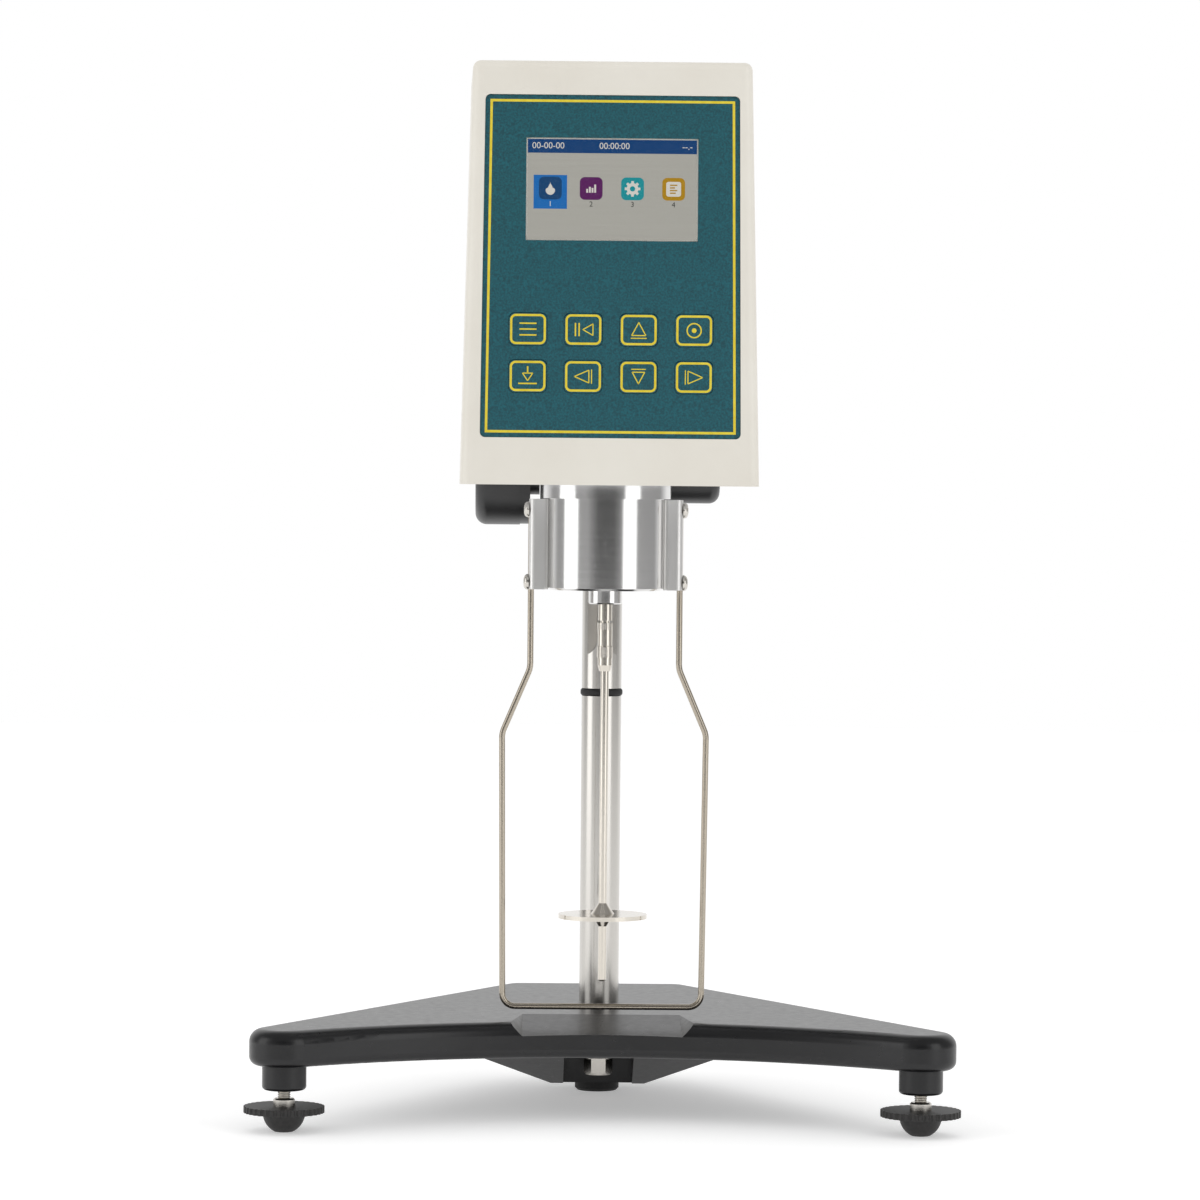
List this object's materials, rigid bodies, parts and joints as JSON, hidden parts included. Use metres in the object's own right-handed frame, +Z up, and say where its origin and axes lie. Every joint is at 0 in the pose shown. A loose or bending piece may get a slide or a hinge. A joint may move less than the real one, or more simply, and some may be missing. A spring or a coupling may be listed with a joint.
{
  "type": "rotational viscometer",
  "caption": "Bench rotational viscometer: head with display and keys on a rack post, disc spindle in a wire guard, three-footed base.",
  "frame": {"origin": "on the bench, at the middle of the footprint", "axes": "+Z up, -Y towards the user, +X to the user's right"},
  "size_m": [0.275, 0.2085, 0.4093],
  "materials": {
    "base_paint": "satin black enamel on a sand casting",
    "steel": "ground and turned stainless steel",
    "zinc_steel": "bright zinc plate",
    "guard_steel": "drawn stainless rod",
    "rubber": "moulded rubber",
    "black_plastic": "moulded, fine grain",
    "gloss_black": "moulded, smooth",
    "shell_cream": "moulded, very fine grain",
    "panel_teal": "printed polyester film, fine grain",
    "window": "clear acrylic",
    "display": "lit colour display",
    "board": "solder mask",
    "chassis_metal": "machined plate",
    "motor_metal": "black can",
    "black_metal": "black anodised",
    "chrome": "polished",
    "bar_metal": "bright turned",
    "jewel": "synthetic ruby",
    "spring_bronze": "rolled bronze strip",
    "vial": "liquid in a clear cell"
  },
  "bodies": {
    "stand": {"base_casting": "base_paint", "rear_foot": "rubber", "post": "steel", "post_nut": "zinc_steel", "stop_ring": "rubber"},
    "left_ball": {"left_foot_ball": "black_plastic"},
    "left_screw": {"left_foot_stud": "zinc_steel", "left_foot_wheel": "black_plastic"},
    "right_ball": {"right_foot_ball": "black_plastic"},
    "right_screw": {"right_foot_stud": "zinc_steel", "right_foot_wheel": "black_plastic"},
    "head": {"carriage": "black_metal", "carriage_screws": "zinc_steel", "pinion_bush": "steel", "front_shell": "shell_cream", "rear_cover": "shell_cream", "panel_overlay": "panel_teal", "display_window": "window", "display_module": "display", "key_board": "board", "main_board": "board", "chassis": "chassis_metal", "motor_bridge": "chassis_metal", "motor": "motor_metal", "photo_sensors": "gloss_black", "pivot_cup": "chrome", "bearing_nose": "chrome", "jewel_bearing": "jewel", "guard_bars": "bar_metal", "guard_wire": "guard_steel", "guard_screws": "zinc_steel", "m3_screws": "zinc_steel", "power_switch": "gloss_black", "power_inlet": "gloss_black", "probe_socket": "gloss_black", "data_socket": "zinc_steel", "level_case": "bar_metal", "level_vial": "vial"},
    "pinion": {"height_knob": "black_plastic", "pinion_shaft": "steel"},
    "tension": {"tension_knob": "black_plastic"},
    "rotor": {"drive_shaft": "steel", "upper_disc": "chassis_metal", "hairspring": "spring_bronze"},
    "shaft": {"pivot_shaft": "steel", "lower_disc": "chassis_metal"},
    "sleeve": {"coupling_sleeve": "steel", "coupling_pins": "steel"},
    "spindle": {"coupling_screw": "steel", "spindle_hub": "steel", "disc_spindle": "steel"},
    "rocker": {"switch_rocker": "gloss_black"},
    "save_key": {"key_save": "panel_teal"},
    "left_key": {"key_left": "panel_teal"},
    "down_key": {"key_down": "panel_teal"},
    "right_key": {"key_right": "panel_teal"},
    "menu_key": {"key_menu": "panel_teal"},
    "back_key": {"key_back": "panel_teal"},
    "up_key": {"key_up": "panel_teal"},
    "ok_key": {"key_ok": "panel_teal"}
  },
  "joints": [
    {"name": "left_foot_height", "type": "slide", "parent": "stand", "child": "left_ball", "axis": [0, 0, 1], "range_m": [-0.006, 0.0028]},
    {"name": "left_foot_turn", "type": "hinge", "parent": "left_ball", "child": "left_screw", "pos_m": [-0.122, -0.0743, 0.009], "axis": [0, 0, 1], "range_deg": [-2701, 1261]},
    {"name": "right_foot_height", "type": "slide", "parent": "stand", "child": "right_ball", "axis": [0, 0, 1], "range_m": [-0.006, 0.0028]},
    {"name": "right_foot_turn", "type": "hinge", "parent": "right_ball", "child": "right_screw", "pos_m": [0.122, -0.0743, 0.009], "axis": [0, 0, 1], "range_deg": [-2701, 1261]},
    {"name": "head_height", "type": "slide", "parent": "stand", "child": "head", "axis": [0, 0, 1], "range_m": [-0.003, 0.1]},
    {"name": "height_knob_turn", "type": "hinge", "parent": "head", "child": "pinion", "pos_m": [0, 0.0184, 0.2521], "axis": [1, 0, 0], "range_deg": [-956, 29]},
    {"name": "tension_knob_turn", "type": "hinge", "parent": "head", "child": "tension", "pos_m": [0.035, 0.0184, 0.2521], "axis": [1, 0, 0], "range_deg": [-90, 180]},
    {"name": "motor_spin", "type": "hinge", "parent": "head", "child": "rotor", "pos_m": [0, -0.0343, 0.27], "axis": [0, 0, 1], "continuous": true},
    {"name": "spindle_twist", "type": "hinge", "parent": "rotor", "child": "shaft", "pos_m": [0, -0.0343, 0.206], "axis": [0, 0, 1], "range_deg": [0, 85], "stiffness_Nm_per_rad": 0.000484, "deforming": ["hairspring"]},
    {"name": "coupling_swing", "type": "hinge", "parent": "shaft", "child": "sleeve", "pos_m": [0, -0.0343, 0.1904], "axis": [0, 1, 0], "range_deg": [-3, 3]},
    {"name": "spindle_swing", "type": "hinge", "parent": "sleeve", "child": "spindle", "pos_m": [0, -0.0343, 0.187], "axis": [1, 0, 0], "range_deg": [-3, 3]},
    {"name": "save_key_press", "type": "slide", "parent": "head", "child": "save_key", "axis": [0, 0.9981, -0.061], "range_m": [0, 0.0005], "stiffness_N_per_m": 300, "springref_m": -0.001},
    {"name": "left_key_press", "type": "slide", "parent": "head", "child": "left_key", "axis": [0, 0.9981, -0.061], "range_m": [0, 0.0005], "stiffness_N_per_m": 300, "springref_m": -0.001},
    {"name": "down_key_press", "type": "slide", "parent": "head", "child": "down_key", "axis": [0, 0.9981, -0.061], "range_m": [0, 0.0005], "stiffness_N_per_m": 300, "springref_m": -0.001},
    {"name": "right_key_press", "type": "slide", "parent": "head", "child": "right_key", "axis": [0, 0.9981, -0.061], "range_m": [0, 0.0005], "stiffness_N_per_m": 300, "springref_m": -0.001},
    {"name": "menu_key_press", "type": "slide", "parent": "head", "child": "menu_key", "axis": [0, 0.9981, -0.061], "range_m": [0, 0.0005], "stiffness_N_per_m": 300, "springref_m": -0.001},
    {"name": "back_key_press", "type": "slide", "parent": "head", "child": "back_key", "axis": [0, 0.9981, -0.061], "range_m": [0, 0.0005], "stiffness_N_per_m": 300, "springref_m": -0.001},
    {"name": "up_key_press", "type": "slide", "parent": "head", "child": "up_key", "axis": [0, 0.9981, -0.061], "range_m": [0, 0.0005], "stiffness_N_per_m": 300, "springref_m": -0.001},
    {"name": "ok_key_press", "type": "slide", "parent": "head", "child": "ok_key", "axis": [0, 0.9981, -0.061], "range_m": [0, 0.0005], "stiffness_N_per_m": 300, "springref_m": -0.001},
    {"name": "rocker_tilt", "type": "hinge", "parent": "head", "child": "rocker", "pos_m": [-0.036, -0.0063, 0.32], "axis": [1, 0, 0], "range_deg": [-20, 0]}
  ],
  "couplings": [
    {"joint": "left_foot_turn", "follows": "left_foot_height", "rad_per_m": 7854},
    {"joint": "right_foot_turn", "follows": "right_foot_height", "rad_per_m": 7854},
    {"joint": "height_knob_turn", "follows": "head_height", "rad_per_m": -166.67}
  ]
}
